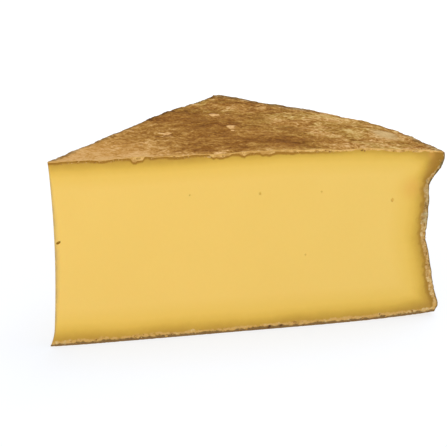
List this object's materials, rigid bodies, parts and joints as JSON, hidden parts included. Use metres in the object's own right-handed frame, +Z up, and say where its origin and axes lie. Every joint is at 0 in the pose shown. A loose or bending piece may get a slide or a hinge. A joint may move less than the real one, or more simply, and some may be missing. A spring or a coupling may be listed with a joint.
{
  "type": "hard cheese wedge",
  "caption": "Large wedge of pressed hard cheese cut from a tall wheel: smooth straw-yellow paste, mottled brown natural rind, concave heel with two flared lips.",
  "frame": {"origin": "on the resting plane, under the middle of the bounding box", "axes": "+X along the front cut from the thin edge to the heel, the front cut faces -Y, +Z up from the base rind to the top rind"},
  "size_m": [0.2722, 0.2204, 0.1259],
  "materials": {
    "cheese": "matte straw-yellow paste with a soft waxy sheen, under a mottled brown brushed rind"
  },
  "bodies": {
    "root": {"cheese_wedge": "cheese"}
  },
  "joints": []
}
